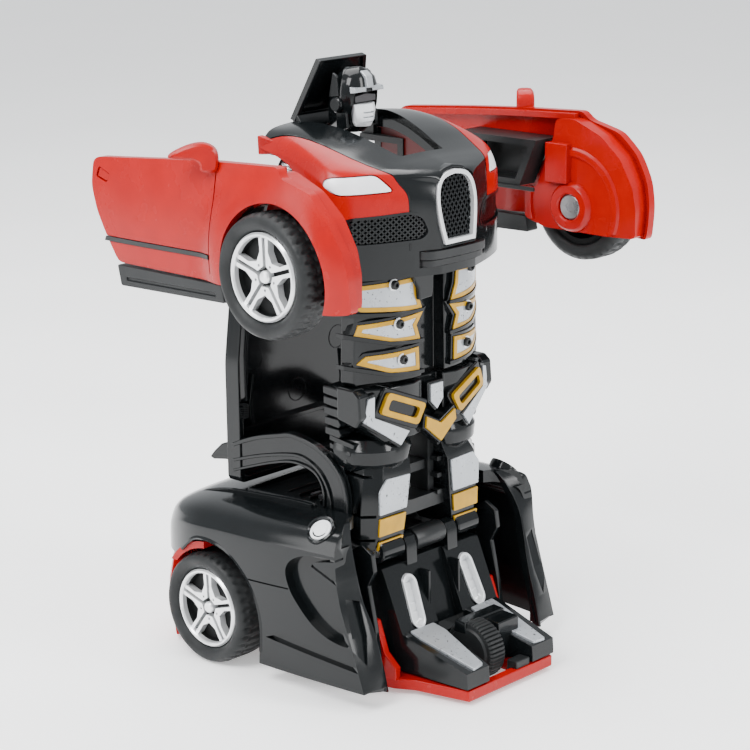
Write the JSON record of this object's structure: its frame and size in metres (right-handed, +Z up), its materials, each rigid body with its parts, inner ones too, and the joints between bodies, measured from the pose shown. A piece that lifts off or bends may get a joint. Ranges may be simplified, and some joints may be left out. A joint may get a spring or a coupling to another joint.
{
  "type": "transforming robot car",
  "caption": "Palm-sized toy car that unfolds into a standing robot: folding torso, swinging door arms, tilting roof, flip-over head lid and a friction drive.",
  "frame": {"origin": "middle of the bounding box on the floor, under the standing robot", "axes": "+X the way the robot and the car face, +Y the robot's left, +Z up"},
  "size_m": [0.0838, 0.1084, 0.1291],
  "materials": {
    "red_plastic": "gloss",
    "black_plastic": "gloss",
    "black_satin": "satin",
    "silver_paint": "satin",
    "chrome_rim": "polished",
    "tyre": "matte",
    "steel": "satin",
    "gear_plastic": "satin",
    "motor_case": "satin"
  },
  "bodies": {
    "base": {"chassis_tray": "red_plastic", "rear_shell": "black_plastic", "foot_block": "black_plastic", "filler_cap_left": "silver_paint", "filler_cap_right": "silver_paint", "gearbox_left": "motor_case", "gearbox_right": "motor_case", "roof_pin": "steel", "fold_spring": "steel", "support_axle": "steel"},
    "rear_wheels": {"rear_axle": "steel", "axle_gear": "gear_plastic", "rear_left_rim": "chrome_rim", "rear_left_tyre": "tyre", "rear_right_rim": "chrome_rim", "rear_right_tyre": "tyre"},
    "idler": {"idler_gear": "gear_plastic"},
    "flywheel": {"flywheel": "steel"},
    "support_wheel": {"support_wheel": "tyre"},
    "roof": {"roof_panel": "black_plastic"},
    "torso": {"fold_pin": "steel", "leg_left": "black_plastic", "leg_right": "black_plastic", "leg_bridge": "black_satin", "waist_block": "black_plastic", "torso_front": "black_plastic", "torso_back": "black_satin"},
    "chest": {"chest_pin": "steel", "chest_frame": "red_plastic", "hood_panel": "black_plastic", "lower_bumper": "black_plastic", "nose_left": "red_plastic", "nose_right": "red_plastic", "headlight_left": "silver_paint", "headlight_right": "silver_paint", "front_grille": "black_satin", "arm_pin_left": "steel", "arm_pin_right": "steel", "arm_spring_left": "steel", "arm_spring_right": "steel"},
    "trigger": {"bumper_trigger": "black_satin"},
    "head": {"head_flap": "black_plastic", "head_helmet": "black_plastic", "face_plate": "silver_paint"},
    "link_left": {"arm_link_left": "black_satin"},
    "arm_left": {"arm_panel_left": "red_plastic", "arm_sill_left": "black_satin", "arm_bracket_left": "black_satin", "stub_axle_left": "steel"},
    "front_wheel_left": {"front_left_rim": "chrome_rim", "front_left_tyre": "tyre"},
    "link_right": {"arm_link_right": "black_satin"},
    "arm_right": {"arm_panel_right": "red_plastic", "arm_sill_right": "black_satin", "arm_bracket_right": "black_satin", "stub_axle_right": "steel"},
    "front_wheel_right": {"front_right_rim": "chrome_rim", "front_right_tyre": "tyre"}
  },
  "joints": [
    {"name": "torso_fold", "type": "hinge", "parent": "base", "child": "torso", "pos_m": [0.01735, 0, 0.0285], "axis": [0, 1, 0], "range_deg": [0, 112.2]},
    {"name": "chest_level", "type": "hinge", "parent": "torso", "child": "chest", "pos_m": [0.00595, 0, 0.0957], "axis": [0, 1, 0], "range_deg": [-112.2, 0]},
    {"name": "roof_fold", "type": "hinge", "parent": "base", "child": "roof", "pos_m": [-0.00515, 0, 0.0325], "axis": [0, 1, 0], "range_deg": [0, 90]},
    {"name": "head_flip", "type": "hinge", "parent": "chest", "child": "head", "pos_m": [-0.00805, 0, 0.1146], "axis": [0, 1, 0], "range_deg": [0, 88]},
    {"name": "trigger_press", "type": "slide", "parent": "chest", "child": "trigger", "axis": [-1, 0, 0], "range_m": [0, 0.0022], "stiffness_N_per_m": 300},
    {"name": "rear_axle_spin", "type": "hinge", "parent": "base", "child": "rear_wheels", "pos_m": [-0.01685, 0, 0.0123], "axis": [0, 1, 0], "continuous": true},
    {"name": "idler_spin", "type": "hinge", "parent": "base", "child": "idler", "pos_m": [-0.00781, 0, 0.01559], "axis": [0, 1, 0], "continuous": true},
    {"name": "flywheel_spin", "type": "hinge", "parent": "base", "child": "flywheel", "pos_m": [0.00076, 0, 0.01871], "axis": [0, 1, 0], "continuous": true},
    {"name": "support_wheel_spin", "type": "hinge", "parent": "base", "child": "support_wheel", "pos_m": [0.03225, 0, 0.0065], "axis": [0, 1, 0], "continuous": true},
    {"name": "arm_swing_left", "type": "hinge", "parent": "chest", "child": "link_left", "pos_m": [-0.00415, 0.0155, 0.1034], "axis": [0, 0, 1], "range_deg": [0, 72.2]},
    {"name": "arm_level_left", "type": "hinge", "parent": "link_left", "child": "arm_left", "pos_m": [-0.00265, 0.04, 0.1034], "axis": [0, 0, 1], "range_deg": [-72.2, 0]},
    {"name": "front_wheel_spin_left", "type": "hinge", "parent": "arm_left", "child": "front_wheel_left", "pos_m": [0.02295, 0.047, 0.0942], "axis": [0, 1, 0], "continuous": true},
    {"name": "arm_swing_right", "type": "hinge", "parent": "chest", "child": "link_right", "pos_m": [-0.00415, -0.0155, 0.1034], "axis": [0, 0, -1], "range_deg": [0, 72.2]},
    {"name": "arm_level_right", "type": "hinge", "parent": "link_right", "child": "arm_right", "pos_m": [-0.00265, -0.04, 0.1034], "axis": [0, 0, -1], "range_deg": [-72.2, 0]},
    {"name": "front_wheel_spin_right", "type": "hinge", "parent": "arm_right", "child": "front_wheel_right", "pos_m": [0.02295, -0.047, 0.0942], "axis": [0, 1, 0], "continuous": true}
  ],
  "couplings": [
    {"joint": "chest_level", "follows": "torso_fold", "ratio": -1},
    {"joint": "roof_fold", "follows": "torso_fold", "ratio": 0.80214},
    {"joint": "idler_spin", "follows": "rear_axle_spin", "ratio": -2.1667},
    {"joint": "flywheel_spin", "follows": "rear_axle_spin", "ratio": 7.5833},
    {"joint": "arm_level_left", "follows": "arm_swing_left", "ratio": -1},
    {"joint": "arm_level_right", "follows": "arm_swing_right", "ratio": -1}
  ]
}
